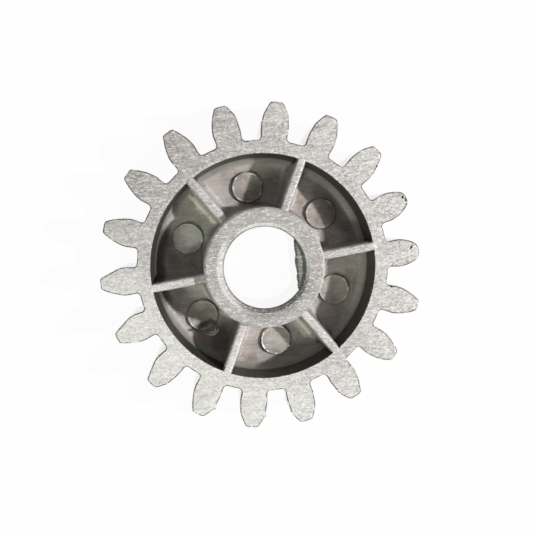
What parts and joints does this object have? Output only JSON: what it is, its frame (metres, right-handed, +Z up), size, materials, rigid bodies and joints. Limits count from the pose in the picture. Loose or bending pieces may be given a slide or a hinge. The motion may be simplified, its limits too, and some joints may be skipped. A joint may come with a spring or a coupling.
{
  "type": "spur gear",
  "caption": "Cast spur gear with a ribbed recessed web, a raised hub and a D-shaped through bore, the teeth worn on the side of the flat.",
  "frame": {"origin": "centre of the bore on the flat back face, where the gear rests", "axes": "+Z up along the bore towards the ribbed side; +X through the centre of the most worn tooth and square to the bore's flat"},
  "size_m": [0.0789, 0.079, 0.018],
  "materials": {
    "cast_metal": "as-cast, matt and slightly grainy, unpainted"
  },
  "bodies": {
    "root": {"output_gear": "cast_metal"}
  },
  "joints": []
}
